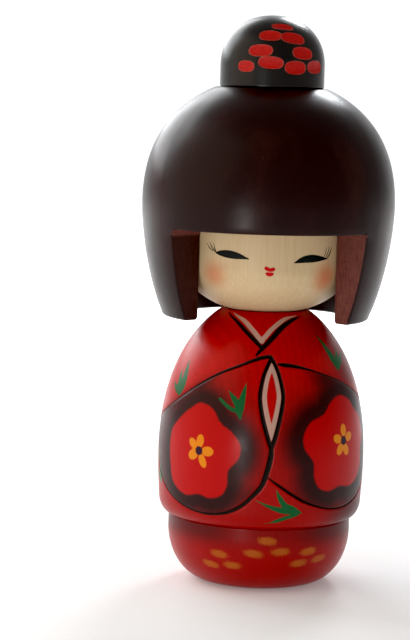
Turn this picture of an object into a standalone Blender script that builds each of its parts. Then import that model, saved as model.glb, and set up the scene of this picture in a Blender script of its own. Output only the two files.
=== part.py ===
"""Turned wooden kokeshi doll, built as it is on the bench.

Six pieces of lathe-turned wood: the kimono body, the face ball, the bored hair cap with its
face window, the top bun, the neck peg that the head turns on, and the dowel through the crown.
The doll stands on z = 0, its axis is Z, and its face looks along -Y. Sizes are in millimetres.
"""

from math import cos, pi, radians, sin, sqrt

import bmesh
import bpy

MM = 0.001
COLLECTION = "kokeshi_doll"
CUTTERS = "cutters"

# Driving dimensions, in millimetres
TOTAL_HEIGHT = 165.0
GAP = 0.3  # glue line, or running clearance, between neighbouring pieces

BODY_WIDEST_R = 30.2
BODY_WIDEST_Z = 37.7
BODY_TOP_R = 12.4  # rim of the dish that the face ball sits in
SHOULDER_SLOPE = radians(32)  # below level, where the shoulder leaves the rim
SHOULDER_PULL = 2.3  # lengths of the curve handles that shape the outline
FLANK_PULL = 31.0
HIP_PULL = 8.0
LIP_PULL = (0.15, 4.0)
LIP_R = 29.7  # lower edge of the kimono, where it overhangs the skirt
LIP_Z = 19.6
LIP_ROUND_R = 3.3  # the lip's rounding, across and up
LIP_ROUND_Z = 5.4
SKIRT_R = 26.7
FOOT_R = 15.2  # flat that the doll stands on
FOOT_CURVE_Z = 15.8  # where the skirt starts to curve in towards the foot

BALL_R = 24.7
BALL_Z = 93.2  # height of the ball's widest line
BALL_DROP = 14.7  # from the widest line down to the lowest point of the chin
BALL_STRAIGHT_TOP = 110.0
BALL_TOP_Z = 121.2
BALL_TOP_FLAT_R = 13.0

BORE_R = BALL_R + GAP
BORE_TOP_Z = BALL_TOP_Z + GAP
HAIR_WIDEST_R = 36.8
HAIR_WIDEST_Z = 110.6
HAIR_RIM_R = 30.4
HAIR_RIM_Z = 77.6
HAIR_RIM_ROUND = 1.0
HAIR_SEAT_R = 16.3  # flat on the crown that the bun stands on
HAIR_SEAT_Z = 144.2
CROWN_SLOPE = radians(24)  # below level, where the crown leaves its seat
CROWN_PULL = 12.0
TEMPLE_PULL = 19.1
CHEEK_PULL = 11.2
BOB_PULL = (3.2, 7.0)
FRINGE_Z = 103.9
WINDOW_HALF_ANGLE = radians(45)  # the window is a square-cornered notch
WINDOW_APEX_Y = 4.1  # its corner lies this far behind the axis
WINDOW_REACH = 70.0
WINDOW_BELOW = 10.0  # how far the cutter starts below the rim

BUN_R = 15.1
BUN_BASE_Z = HAIR_SEAT_Z + GAP
BUN_STRAIGHT_Z = 150.5
BUN_TOP_PULL = 8.2
BUN_SIDE_PULL = 9.4

PEG_R = 5.0
PEG_BOTTOM_Z = 62.5
PEG_TOP_Z = 93.0
DOWEL_R = 4.0
DOWEL_BOTTOM_Z = 111.5
DOWEL_TOP_Z = 155.0
END_GAP = 0.5  # room left past the end of a peg in a blind hole
CHAMFER = 0.8
CHIN_START = -9.0  # degrees round the ball's lower half, at its first and last facet
CHIN_END = -78.0

TURNED_STEPS = 48
PEG_SIDES = 32


def curve(start, leave, arrive, end, pieces):
    """Points of one cubic curve between two knots, without its first point."""
    points = []
    for step in range(1, pieces + 1):
        t = step / pieces
        weights = ((1 - t) ** 3, 3 * t * (1 - t) ** 2, 3 * t * t * (1 - t), t**3)
        knots = (start, leave, arrive, end)
        points.append(tuple(sum(w * k[i] for w, k in zip(weights, knots)) for i in (0, 1)))
    return points


def ellipse_arc(centre, half_width, half_height, from_deg, to_deg, pieces):
    """Points along an ellipse about centre, both ends included."""
    points = []
    for step in range(pieces + 1):
        angle = radians(from_deg + (to_deg - from_deg) * step / pieces)
        points.append((centre[0] + half_width * cos(angle), centre[1] + half_height * sin(angle)))
    return points


def chin_z(radius, clearance=0.0):
    """Height of the face ball's underside at a radius, less a clearance."""
    reach = BALL_R + clearance
    return BALL_Z - (BALL_DROP + clearance) * sqrt(1 - (radius / reach) ** 2)


def body_outline():
    """Socket for the neck peg, dish for the chin, kimono, lip, skirt and foot."""
    socket_r = PEG_R + GAP
    socket_z = PEG_BOTTOM_Z - END_GAP
    points = [(0, socket_z), (socket_r, socket_z)]
    dish_steps = 3
    for step in range(dish_steps + 1):
        radius = socket_r + (BODY_TOP_R - socket_r) * step / dish_steps
        points.append((radius, chin_z(radius, GAP)))
    rim = points[-1]
    widest = (BODY_WIDEST_R, BODY_WIDEST_Z)
    leave = (rim[0] + SHOULDER_PULL * cos(SHOULDER_SLOPE), rim[1] - SHOULDER_PULL * sin(SHOULDER_SLOPE))
    points += curve(rim, leave, (widest[0], widest[1] + FLANK_PULL), widest, 11)
    lip_top = (LIP_R, LIP_Z + LIP_ROUND_Z)
    arrive = (lip_top[0] + LIP_PULL[0], lip_top[1] + LIP_PULL[1])
    points += curve(widest, (widest[0], widest[1] - HIP_PULL), arrive, lip_top, 4)
    lip_centre = (LIP_R - LIP_ROUND_R, lip_top[1])
    points += ellipse_arc(lip_centre, LIP_ROUND_R, LIP_ROUND_Z, -22.5, -90, 3)
    foot_width = SKIRT_R - FOOT_R
    points += ellipse_arc((FOOT_R, FOOT_CURVE_Z), foot_width, FOOT_CURVE_Z, 0, -90, 7)
    points.append((0, 0))
    return points


def ball_outline():
    """Crown hole, domed top, straight cheek, chin and neck hole."""
    hole_r = DOWEL_R + GAP
    neck_r = PEG_R + GAP
    shoulder = BALL_TOP_Z - BALL_STRAIGHT_TOP
    points = [(0, DOWEL_BOTTOM_Z - END_GAP), (hole_r, DOWEL_BOTTOM_Z - END_GAP), (hole_r, BALL_TOP_Z)]
    points += ellipse_arc(
        (BALL_TOP_FLAT_R, BALL_STRAIGHT_TOP), BALL_R - BALL_TOP_FLAT_R, shoulder, 90, 0, 5
    )
    points.append((BALL_R, BALL_Z))
    points += ellipse_arc((0, BALL_Z), BALL_R, BALL_DROP, CHIN_START, CHIN_END, 8)
    points.append((neck_r, chin_z(neck_r)))
    points += [(neck_r, PEG_TOP_Z + END_GAP), (0, PEG_TOP_Z + END_GAP)]
    return points


def hair_outline():
    """Seat, crown, flank, rounded rim, bore and crown hole, as one closed loop."""
    hole_r = DOWEL_R + GAP
    seat_edge = (HAIR_SEAT_R, HAIR_SEAT_Z)
    widest = (HAIR_WIDEST_R, HAIR_WIDEST_Z)
    rim_top = (HAIR_RIM_R, HAIR_RIM_Z + HAIR_RIM_ROUND)
    leave = (seat_edge[0] + CROWN_PULL * cos(CROWN_SLOPE), seat_edge[1] - CROWN_PULL * sin(CROWN_SLOPE))
    points = [(hole_r, HAIR_SEAT_Z), seat_edge]
    points += curve(seat_edge, leave, (widest[0], widest[1] + TEMPLE_PULL), widest, 10)
    arrive = (rim_top[0] + BOB_PULL[0], rim_top[1] + BOB_PULL[1])
    points += curve(widest, (widest[0], widest[1] - CHEEK_PULL), arrive, rim_top, 6)
    round_centre = (HAIR_RIM_R - HAIR_RIM_ROUND, rim_top[1])
    points += ellipse_arc(round_centre, HAIR_RIM_ROUND, HAIR_RIM_ROUND, -45, -90, 1)
    points.append((BORE_R, HAIR_RIM_Z))
    points += ellipse_arc(
        (BALL_TOP_FLAT_R, BALL_STRAIGHT_TOP),
        BORE_R - BALL_TOP_FLAT_R,
        BORE_TOP_Z - BALL_STRAIGHT_TOP,
        0,
        90,
        5,
    )
    points.append((hole_r, BORE_TOP_Z))
    return points


def bun_outline():
    """Domed top, straight side, flat base and blind dowel hole."""
    hole_r = DOWEL_R + GAP
    top = (0, TOTAL_HEIGHT)
    side = (BUN_R, BUN_STRAIGHT_Z)
    points = [top]
    points += curve(top, (BUN_TOP_PULL, TOTAL_HEIGHT), (BUN_R, BUN_STRAIGHT_Z + BUN_SIDE_PULL), side, 9)
    points += [(BUN_R, BUN_BASE_Z), (hole_r, BUN_BASE_Z)]
    points += [(hole_r, DOWEL_TOP_Z + END_GAP), (0, DOWEL_TOP_Z + END_GAP)]
    return points


def wood_finish(name, colour, roughness):
    """A painted or bare wood material."""
    material = bpy.data.materials.new(name)
    material.use_nodes = True
    shader = material.node_tree.nodes["Principled BSDF"]
    shader.inputs["Base Color"].default_value = (*colour, 1.0)
    shader.inputs["Roughness"].default_value = roughness
    shader.inputs["Metallic"].default_value = 0.0
    return material


def collection(name):
    made = bpy.data.collections.new(name)
    bpy.context.scene.collection.children.link(made)
    return made


def turned(name, outline, closed, material, home):
    """A solid of revolution: the outline in millimetres, spun about Z by a Screw modifier."""
    count = len(outline)
    edges = [(i, i + 1) for i in range(count - 1)]
    if closed:
        edges.append((count - 1, 0))
    mesh = bpy.data.meshes.new(name)
    mesh.from_pydata([(r * MM, 0, z * MM) for r, z in outline], edges, [])
    mesh.materials.append(material)
    piece = bpy.data.objects.new(name, mesh)
    home.objects.link(piece)
    screw = piece.modifiers.new("turning", "SCREW")
    screw.axis = "Z"
    screw.angle = 2 * pi
    screw.steps = TURNED_STEPS
    screw.render_steps = TURNED_STEPS
    screw.use_merge_vertices = True
    screw.merge_threshold = 0.00001
    screw.use_smooth_shade = True
    return piece


def dowel(name, radius, bottom_z, top_z, material, home):
    """A round peg with chamfered ends."""
    bpy.ops.mesh.primitive_cylinder_add(
        vertices=PEG_SIDES,
        radius=radius * MM,
        depth=(top_z - bottom_z) * MM,
        location=(0, 0, (top_z + bottom_z) / 2 * MM),
    )
    piece = bpy.context.object
    piece.name = name
    piece.data.materials.append(material)
    for owner in list(piece.users_collection):
        owner.objects.unlink(piece)
    home.objects.link(piece)
    chamfer = piece.modifiers.new("chamfer", "BEVEL")
    chamfer.width = CHAMFER * MM
    chamfer.segments = 1
    chamfer.limit_method = "ANGLE"
    chamfer.angle_limit = radians(60)
    return piece


def window_cutter(home):
    """A wedge that opens forwards from a corner behind the axis, from below the rim to the fringe."""
    apex = WINDOW_APEX_Y * MM
    across = WINDOW_REACH * sin(WINDOW_HALF_ANGLE) * MM
    ahead = apex - WINDOW_REACH * cos(WINDOW_HALF_ANGLE) * MM
    bottom_z = (HAIR_RIM_Z - WINDOW_BELOW) * MM
    height = FRINGE_Z * MM - bottom_z
    shape = bmesh.new()
    plan = ((0, apex), (-across, ahead), (across, ahead))
    base = shape.faces.new([shape.verts.new((x, y, bottom_z)) for x, y in plan])
    raised = bmesh.ops.extrude_face_region(shape, geom=[base])
    top = [part for part in raised["geom"] if isinstance(part, bmesh.types.BMVert)]
    bmesh.ops.translate(shape, verts=top, vec=(0, 0, height))
    bmesh.ops.recalc_face_normals(shape, faces=shape.faces)
    mesh = bpy.data.meshes.new("face_window_cutter")
    shape.to_mesh(mesh)
    shape.free()
    cutter = bpy.data.objects.new("face_window_cutter", mesh)
    cutter.hide_render = True
    cutter.display_type = "WIRE"
    home.objects.link(cutter)
    return cutter


def cut(piece, cutter):
    boolean = piece.modifiers.new("face_window", "BOOLEAN")
    boolean.operation = "DIFFERENCE"
    boolean.object = cutter


def clear_scene():
    for thing in list(bpy.data.objects):
        bpy.data.objects.remove(thing)


def main():
    clear_scene()
    home = collection(COLLECTION)
    cutters = collection(CUTTERS)
    red = wood_finish("kimono_red", (0.42, 0.012, 0.010), 0.35)
    pale = wood_finish("face_wood", (0.60, 0.42, 0.24), 0.45)
    brown = wood_finish("hair_brown", (0.022, 0.008, 0.009), 0.28)
    black = wood_finish("bun_black", (0.006, 0.005, 0.005), 0.22)
    bare = wood_finish("bare_wood", (0.55, 0.38, 0.22), 0.60)

    turned("kimono_body", body_outline(), False, red, home)
    ball = turned("face_ball", ball_outline(), False, pale, home)
    hair = turned("hair_cap", hair_outline(), True, brown, home)
    cut(hair, window_cutter(cutters))
    bun = turned("hair_bun", bun_outline(), False, black, home)
    peg = dowel("neck_peg", PEG_R, PEG_BOTTOM_Z, PEG_TOP_Z, bare, home)
    crown = dowel("crown_dowel", DOWEL_R, DOWEL_BOTTOM_Z, DOWEL_TOP_Z, bare, home)

    turning_axis = bpy.data.objects.new("head_turning_axis", None)
    home.objects.link(turning_axis)
    for piece in (ball, hair, bun, peg, crown):
        piece.parent = turning_axis


main()
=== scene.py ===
"""Looks of a turned wooden kokeshi doll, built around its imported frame.

Every piece is modelled in metres in the frame's own place: +Z is up, the face looks along -Y.
Patterns are drawn in the doll painter's own terms: degrees round the axis from the front,
positive towards +X, and millimetres up from the foot.
"""

from contextlib import contextmanager
from math import cos, pi, radians, sin, sqrt, tan

import bpy
import numpy as np
from mathutils import Matrix, Vector
from mathutils.kdtree import KDTree


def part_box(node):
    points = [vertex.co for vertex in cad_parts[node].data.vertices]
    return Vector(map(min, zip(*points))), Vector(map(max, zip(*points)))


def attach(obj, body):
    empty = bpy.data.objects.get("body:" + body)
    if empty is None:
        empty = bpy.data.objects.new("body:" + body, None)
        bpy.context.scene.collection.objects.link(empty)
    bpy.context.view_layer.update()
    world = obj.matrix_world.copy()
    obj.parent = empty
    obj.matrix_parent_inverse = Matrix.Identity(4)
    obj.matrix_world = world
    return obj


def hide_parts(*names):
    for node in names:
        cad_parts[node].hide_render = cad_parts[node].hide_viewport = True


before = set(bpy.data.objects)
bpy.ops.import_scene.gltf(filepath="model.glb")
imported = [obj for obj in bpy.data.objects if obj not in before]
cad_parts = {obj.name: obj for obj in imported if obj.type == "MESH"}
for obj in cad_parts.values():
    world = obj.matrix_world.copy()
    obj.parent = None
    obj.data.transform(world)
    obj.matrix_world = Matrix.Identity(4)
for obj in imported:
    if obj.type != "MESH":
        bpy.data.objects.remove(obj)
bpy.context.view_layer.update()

bl_info = {
    "name": "Kokeshi Doll",
    "version": (1, 0, 0),
    "blender": (4, 5, 0),
    "location": "3D View > Sidebar > Kokeshi",
    "description": "Models, carves and paints a turned wooden doll around its frame",
    "category": "Add Mesh",
}

MM = 0.001
FULL_TURN = 360.0
WELD = 1e-6
ROUND_HANDLE = 0.5523  # handle length that makes a cubic curve follow a quarter of an ellipse


def box_mm(node):
    """Lowest and highest corners of a frame node, in millimetres."""
    low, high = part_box(node)
    return [v / MM for v in low], [v / MM for v in high]


BODY_HIGH = box_mm("kimono_body")[1]
BALL_HIGH = box_mm("face_ball")[1]
HAIR_LOW, HAIR_HIGH = box_mm("hair_cap")
BUN_LOW, BUN_HIGH = box_mm("hair_bun")
PEG_LOW, PEG_HIGH = box_mm("neck_peg")
DOWEL_LOW, DOWEL_HIGH = box_mm("crown_dowel")


# ---------------------------------------------------------------------------------------------
# Properties a user would change
# ---------------------------------------------------------------------------------------------


def size(name, description, value):
    return bpy.props.FloatProperty(
        name=name, description=description, default=value * MM, unit="LENGTH", precision=5
    )


def colour(name, description, value):
    return bpy.props.FloatVectorProperty(
        name=name, description=description, default=value, size=3, subtype="COLOR", min=0, max=1
    )


class KokeshiSizes(bpy.types.PropertyGroup):
    """Sizes of the turned and carved shapes."""

    fringe_height: size("Fringe", "Height of the underside of the fringe", 103.9)
    notch_apex: size("Notch corner", "How far behind the axis the face window's corner lies", 4.1)
    notch_round: size("Notch edges", "Rounding of the window's outer edges", 0.55)
    notch_fillet: size("Notch fillet", "Wood left in the window's upper corners", 2.0)
    groove_depth: size("Groove depth", "Depth of the carved kimono lines", 0.42)
    scoop_depth: size("Scoop depth", "Depth of the gouged petals on the bun", 0.42)
    film: size("Paint film", "Thickness of the paint on the face", 0.06)


class KokeshiColours(bpy.types.PropertyGroup):
    """Colours of the stains and paints."""

    red: colour("Red stain", "Stain of the kimono", (0.53, 0.0060, 0.0050))
    flower: colour("Flower red", "Plum blossoms on the sleeves", (0.47, 0.0025, 0.0022))
    # The airbrush colour also paints shade on the right shoulder and under the step
    airbrush: colour("Airbrush", "Dark spray round the blossoms", (0.022, 0.006, 0.006))
    ink: colour("Ink", "Carved lines", (0.008, 0.005, 0.004))
    pale: colour("Collar", "Pale collar and cuff bands", (0.50, 0.30, 0.24))
    green: colour("Leaf", "Leaves on the kimono", (0.008, 0.105, 0.028))
    yellow: colour("Stamen", "Small yellow blossoms", (0.76, 0.24, 0.008))
    heart: colour("Heart", "Middle of the small blossoms", (0.030, 0.006, 0.024))
    gold: colour("Gold", "Dabs on the skirt", (0.42, 0.092, 0.012))
    face: colour("Face wood", "Bare pale wood", (0.66, 0.505, 0.305))
    blush: colour("Blush", "Sprayed cheeks", (0.58, 0.165, 0.065))
    hair: colour("Hair stain", "Dark brown stain", (0.018, 0.0072, 0.0072))
    hair_cut: colour("Hair cuts", "Sawn faces of the window", (0.185, 0.060, 0.048))
    bun: colour("Bun lacquer", "Black lacquer", (0.006, 0.0055, 0.0055))
    petal: colour("Petal red", "Gouged petals on the bun", (0.60, 0.007, 0.004))
    lash: colour("Eye ink", "Eyes and lashes", (0.007, 0.010, 0.009))
    lips: colour("Lips", "Mouth", (0.56, 0.006, 0.010))


# ---------------------------------------------------------------------------------------------
# Modelling helpers
# ---------------------------------------------------------------------------------------------


def only(obj):
    """Selects obj alone and makes it active."""
    bpy.ops.object.select_all(action="DESELECT")
    obj.select_set(True)
    bpy.context.view_layer.objects.active = obj


@contextmanager
def editing(piece):
    """Edit mode on one piece alone."""
    only(piece)
    bpy.ops.object.mode_set(mode="EDIT")
    yield
    bpy.ops.object.mode_set(mode="OBJECT")


def numbers(items, attribute, width, kind=float):
    """One attribute of every item, as an array with a row for each."""
    flat = np.empty(len(items) * width, kind)
    items.foreach_get(attribute, flat)
    return flat.reshape(-1, width) if width > 1 else flat


def run(start, end, rows, leave=None, arrive=None):
    """One span of a half-section in millimetres, straight unless it is given its handles."""
    thirds = [
        tuple(a + (b - a) * share for a, b in zip(start, end)) for share in (1 / 3, 2 / 3)
    ]
    return (start, leave or thirds[0], arrive or thirds[1], end, rows)


def corner(start, end, rows, across_first):
    """A quarter of an ellipse between two points, leaving along R or along Z."""
    dr, dz = end[0] - start[0], end[1] - start[1]
    if across_first:
        leave = (start[0] + dr * ROUND_HANDLE, start[1])
        arrive = (end[0], end[1] - dz * ROUND_HANDLE)
    else:
        leave = (start[0], start[1] + dz * ROUND_HANDLE)
        arrive = (end[0] - dr * ROUND_HANDLE, end[1])
    return run(start, end, rows, leave, arrive)


def draw_section(name, spans, at_degrees):
    """The half-section as Bezier splines, turned to its starting angle and made a mesh."""
    bpy.ops.object.select_all(action="DESELECT")
    turn = radians(at_degrees - 90)
    bpy.ops.curve.primitive_bezier_curve_add(location=(0, 0, 0), rotation=(0, 0, turn))
    drawn = bpy.context.object
    drawn.name = name
    drawn.data.name = name
    drawn.data.splines.clear()
    for start, leave, arrive, end, rows in spans:
        spline = drawn.data.splines.new("BEZIER")
        spline.bezier_points.add(1)
        spline.resolution_u = rows
        first, last = spline.bezier_points
        for point in (first, last):
            point.handle_left_type = "FREE"
            point.handle_right_type = "FREE"
        placed = [(r * MM, 0, z * MM) for r, z in (start, leave, arrive, end)]
        first.co, first.handle_left, first.handle_right = placed[0], placed[0], placed[1]
        last.co, last.handle_left, last.handle_right = placed[3], placed[2], placed[3]
    bpy.ops.object.transform_apply(location=True, rotation=True, scale=True)
    bpy.ops.object.convert(target="MESH")
    return bpy.context.object


def turned(name, spans, arcs, start_degrees=0.0):
    """A closed solid of revolution. arcs are (degrees, steps) in turn towards +X from the start."""
    piece = draw_section(name, spans, start_degrees)
    with editing(piece):
        bpy.ops.mesh.select_all(action="SELECT")
        bpy.ops.mesh.remove_doubles(threshold=WELD)
        for arc, steps in arcs:
            bpy.ops.mesh.spin(steps=steps, angle=radians(arc), center=(0, 0, 0), axis=(0, 0, -1))
    close_up(piece)
    return piece


def points_of(piece):
    """The mesh's points, in millimetres."""
    return numbers(piece.data.vertices, "co", 3) / MM


def set_points(piece, points):
    """Moves the mesh's points, given in millimetres."""
    piece.data.vertices.foreach_set("co", (points * MM).ravel())
    piece.data.update()


def around(points):
    """Degrees round the axis from the front, positive towards +X."""
    return np.degrees(np.arctan2(points[:, 0], -points[:, 1]))


def round_place(angle, radius, height):
    """A point at an angle, radius and height."""
    turn = np.radians(angle)
    return np.stack([radius * np.sin(turn), -radius * np.cos(turn), height + 0 * turn], axis=-1)


def close_up(piece):
    """Merges doubles and turns the faces of a closed piece outwards."""
    with editing(piece):
        bpy.ops.mesh.select_all(action="SELECT")
        bpy.ops.mesh.remove_doubles(threshold=WELD)
        bpy.ops.mesh.normals_make_consistent(inside=False)
    if volume(piece) < 0:
        with editing(piece):
            bpy.ops.mesh.flip_normals()


def volume(piece):
    """Signed volume in cubic millimetres, below zero where the faces point in."""
    piece.data.calc_loop_triangles()
    corners = numbers(piece.data.loop_triangles, "vertices", 3, int)
    first, second, third = np.moveaxis(points_of(piece)[corners], 1, 0)
    return np.einsum("ij,ij->i", first, np.cross(second, third)).sum() / 6


def smooth_by_angle(piece, limit):
    """Shades smooth, but for the edges sharper than the limit in degrees."""
    only(piece)
    bpy.ops.object.shade_smooth_by_angle(angle=radians(limit))


def store(piece, name, values, domain="POINT"):
    """Keeps one number a point or a face for the finish to read."""
    made = piece.data.attributes.new(name, "FLOAT", domain)
    made.data.foreach_set("value", np.asarray(values, np.float32))


def select_where(piece, chosen, kind="vertices"):
    """Selects the points, edges or faces whose flag is set, in object mode."""
    for group in (piece.data.vertices, piece.data.edges, piece.data.polygons):
        group.foreach_set("select", np.zeros(len(group), bool))
    getattr(piece.data, kind).foreach_set("select", np.asarray(chosen, bool))


class Section:
    """Outer surface of a turned piece: its radius and its slope at a height."""

    def __init__(self, spans, steps=60):
        outline = []
        for start, leave, arrive, end, _rows in spans:
            for t in np.linspace(0, 1, steps):
                weights = ((1 - t) ** 3, 3 * t * (1 - t) ** 2, 3 * t * t * (1 - t), t**3)
                knots = (start, leave, arrive, end)
                outline.append([sum(w * k[i] for w, k in zip(weights, knots)) for i in (0, 1)])
        outline = np.array(sorted(outline, key=lambda rz: rz[1]))
        self.radii, self.heights = outline[:, 0], outline[:, 1]

    def radius(self, height):
        return np.interp(height, self.heights, self.radii)

    def place(self, angle, height):
        return round_place(np.asarray(angle, float), self.radius(height), np.asarray(height))

    def axes(self, angle, height):
        """East, up-slope and outward directions at a place on the surface."""
        turn = radians(angle)
        east = np.array([cos(turn), sin(turn), 0])
        step = 0.2
        rise = self.place(angle, height + step) - self.place(angle, height - step)
        up = rise / np.linalg.norm(rise)
        return east, up, np.cross(east, up)


def between(before, start, end, after, samples):
    """Points from start towards end, on the smooth curve that passes through four knots."""
    t = np.linspace(0, 1, samples, endpoint=False)[:, None]
    bend = 2 * before - 5 * start + 4 * end - after
    twist = 3 * start - before - 3 * end + after
    return 0.5 * (2 * start + (end - before) * t + bend * t**2 + twist * t**3)


def spread(knots):
    """A smooth line through the knots, each a row of numbers, with 24 points to a stretch."""
    knots = np.asarray(knots, float)
    padded = np.vstack([2 * knots[0] - knots[1], knots, 2 * knots[-1] - knots[-2]])
    fours = zip(padded, padded[1:], padded[2:], padded[3:])
    return np.vstack([*(between(*four, 24) for four in fours), knots[-1]])


def ring(knots):
    """A smooth closed line through the knots, with 14 points to a stretch."""
    knots = np.asarray(knots, float)
    fours = zip(*(np.roll(knots, shift, axis=0) for shift in (1, 0, -1, -2)))
    return np.vstack([between(*four, 14) for four in fours])


FAR = 9.0  # millimetres past which a drawn mark no longer matters


def stroke_distance(points, section, knots):
    """Distance to the edge of a stroke whose knots are (degrees, height, half width), in mm."""
    line = spread(knots)
    centre = section.place(line[:, 0], line[:, 1])
    tree = KDTree(len(centre))
    for index, place in enumerate(centre):
        tree.insert(place, index)
    tree.balance()
    low, high = centre.min(0) - FAR, centre.max(0) + FAR
    near = np.flatnonzero(((points > low) & (points < high)).all(1))
    found = np.full(len(points), FAR)
    half = line[:, 2]
    for index in near:
        _place, which, away = tree.find(points[index])
        found[index] = away - half[which]
    return np.minimum(found, FAR)


def nearest_stroke(points, section, strokes):
    """Distance to the edge of the nearest of several strokes, in mm."""
    return np.minimum.reduce([stroke_distance(points, section, knots) for knots in strokes])


def outline_distance(flat, outline):
    """Signed distance from flat points to a closed outline, below zero inside it."""
    ends = np.roll(outline, -1, axis=0)
    best = np.full(len(flat), np.inf)
    inside = np.zeros(len(flat), bool)
    for (ax, ay), (bx, by) in zip(outline, ends):
        dx, dy = bx - ax, by - ay
        along = ((flat[:, 0] - ax) * dx + (flat[:, 1] - ay) * dy) / (dx * dx + dy * dy + 1e-12)
        along = np.clip(along, 0, 1)
        away = np.hypot(flat[:, 0] - ax - along * dx, flat[:, 1] - ay - along * dy)
        best = np.minimum(best, away)
        crosses = (ay > flat[:, 1]) != (by > flat[:, 1])
        if dy:
            inside ^= crosses & (flat[:, 0] < ax + (flat[:, 1] - ay) / dy * dx)
    return np.where(inside, -best, best)


def unroll(points, angle, height, radius):
    """Points laid flat about a place: millimetres to the east of it and above it."""
    east = np.radians((around(points) - angle + 180) % 360 - 180) * radius
    return np.stack([east, points[:, 2] - height], axis=1)


def soft_step(value, start, end):
    """0 up to start, 1 from end, smooth between."""
    t = np.clip((value - start) / (end - start), 0, 1)
    return t * t * (3 - 2 * t)


# ---------------------------------------------------------------------------------------------
# Finishes
# ---------------------------------------------------------------------------------------------


def start_finish(name):
    """A new node material and its shader."""
    material = bpy.data.materials.new(name)
    material.use_nodes = True
    return material, material.node_tree, material.node_tree.nodes["Principled BSDF"]


def node(tree, kind, settings=None, **inputs):
    """Adds a node. A value that is a socket is linked, and any other is set."""
    made = tree.nodes.new("ShaderNode" + kind)
    for setting, value in (settings or {}).items():
        setattr(made, setting, value)
    for name, value in inputs.items():
        join(tree, value, made.inputs[name.replace("_", " ")])
    return made


def join(tree, value, socket):
    """Links a socket, or sets a plain value."""
    if isinstance(value, bpy.types.NodeSocket):
        tree.links.new(value, socket)
    else:
        socket.default_value = value


def tint(tree, factor, first, second):
    """Colour first turned into second by factor."""
    made = node(tree, "Mix", {"data_type": "RGBA"})
    join(tree, factor, made.inputs[0])
    for socket, value in ((made.inputs[6], first), (made.inputs[7], second)):
        join(tree, value if isinstance(value, bpy.types.NodeSocket) else (*value, 1.0), socket)
    return made.outputs[2]


def scaled(tone, share):
    """A colour made darker or lighter."""
    return [channel * share for channel in tone]


def sums(tree, operation, first, second=0.0, clamp=False):
    """One step of arithmetic."""
    made = node(tree, "Math", {"operation": operation, "use_clamp": clamp})
    join(tree, first, made.inputs[0])
    join(tree, second, made.inputs[1])
    return made.outputs[0]


def ranged(tree, value, low, high, to_low=0.0, to_high=1.0):
    """A value carried smoothly from one range to another, and held at its ends."""
    ends = {"From_Min": low, "From_Max": high, "To_Min": to_low, "To_Max": to_high}
    return node(
        tree, "MapRange", {"interpolation_type": "SMOOTHSTEP"}, Value=value, **ends
    ).outputs[0]


def millimetres(tree, stretch=(1, 1, 1), shift=(0, 0, 0)):
    """The piece's own coordinates in millimetres, stretched."""
    where = node(tree, "TexCoord").outputs["Object"]
    scale = tuple(s / MM for s in stretch)
    return node(tree, "Mapping", Vector=where, Scale=scale, Location=shift).outputs[0]


def place_on(tree, axis="Z"):
    """Millimetres along one axis."""
    return node(tree, "SeparateXYZ", Vector=millimetres(tree)).outputs[axis]


def stored(tree, name):
    """The number kept on the mesh under a name."""
    return node(tree, "Attribute", {"attribute_name": name}).outputs["Fac"]


def noise(tree, where, scale, detail, roughness=0.55):
    """Soft noise, 0 to 1, with its scale in features to a millimetre."""
    made = node(tree, "TexNoise", Vector=where, Scale=scale, Detail=detail, Roughness=roughness)
    return made.outputs[0]


def grain(tree, stretch=0.05, pith=(70.0, 45.0, 0.0)):
    """Long-grained wood along Z: (growth rings, fine fibres, slow clouds), each 0 to 1."""
    long_grain = millimetres(tree, (1, 1, stretch))
    ring_place = millimetres(tree, (1, 1, 0.12), pith)
    rings = node(
        tree,
        "TexWave",
        {"wave_type": "RINGS", "rings_direction": "Z", "wave_profile": "SIN"},
        Vector=ring_place,
        Scale=0.14,
        Distortion=1.2,
        Detail=1.0,
        Detail_Scale=0.4,
    ).outputs[1]
    fibres = noise(tree, long_grain, 2.2, 3.0, 0.60)
    clouds = noise(tree, millimetres(tree, (1, 1, 0.4)), 0.09, 3.0)
    return rings, fibres, clouds


def furrows(tree, stretch=0.05):
    """Soft long-grained ridges, wide enough to catch the light."""
    return noise(tree, millimetres(tree, (1, 1, stretch)), 0.75, 1.0, 0.4)


def painted(tree, mark, softness, wobble):
    """How far a point is inside a drawn mark, 0 to 1, with a hand-painted edge."""
    away = stored(tree, mark)
    if wobble:
        shake = noise(tree, millimetres(tree), 1.7, 3.0)
        shake = sums(tree, "MULTIPLY", sums(tree, "SUBTRACT", shake, 0.5), wobble)
        away = sums(tree, "ADD", away, shake)
    return ranged(tree, away, softness, -softness)


def bump(tree, height, strength, distance_mm, under=None):
    """Relief from a height, over another relief if there is one."""
    made = node(tree, "Bump", Height=height, Strength=strength, Distance=distance_mm * MM)
    if under is not None:
        tree.links.new(under, made.inputs["Normal"])
    return made.outputs[0]


def wire(tree, shader, look, rough, relief, gloss=0.5):
    """Gives the shader its colour, roughness and relief, and sets how strongly it mirrors."""
    tree.links.new(look, shader.inputs["Base Color"])
    tree.links.new(rough, shader.inputs["Roughness"])
    tree.links.new(relief, shader.inputs["Normal"])
    shader.inputs["Specular IOR Level"].default_value = gloss


CLOUD_RED = (0.64, 0.016, 0.010)
LOW_SHADE_HEIGHTS = (66.0, 14.0)  # heights between which the red is painted darker towards the bottom: painted shade
# Painted marks of the kimono, lowest coat first: (colour, softness of the edge, its wobble)
COATS = (
    ("green", 0.13, 0.30),
    ("yellow", 0.13, 0.16),
    ("heart", 0.14, 0.16),
    ("gold", 0.42, 0.9),
    ("pale", 0.10, 0.14),
    ("ink", 0.12, 0.14),
)


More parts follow.
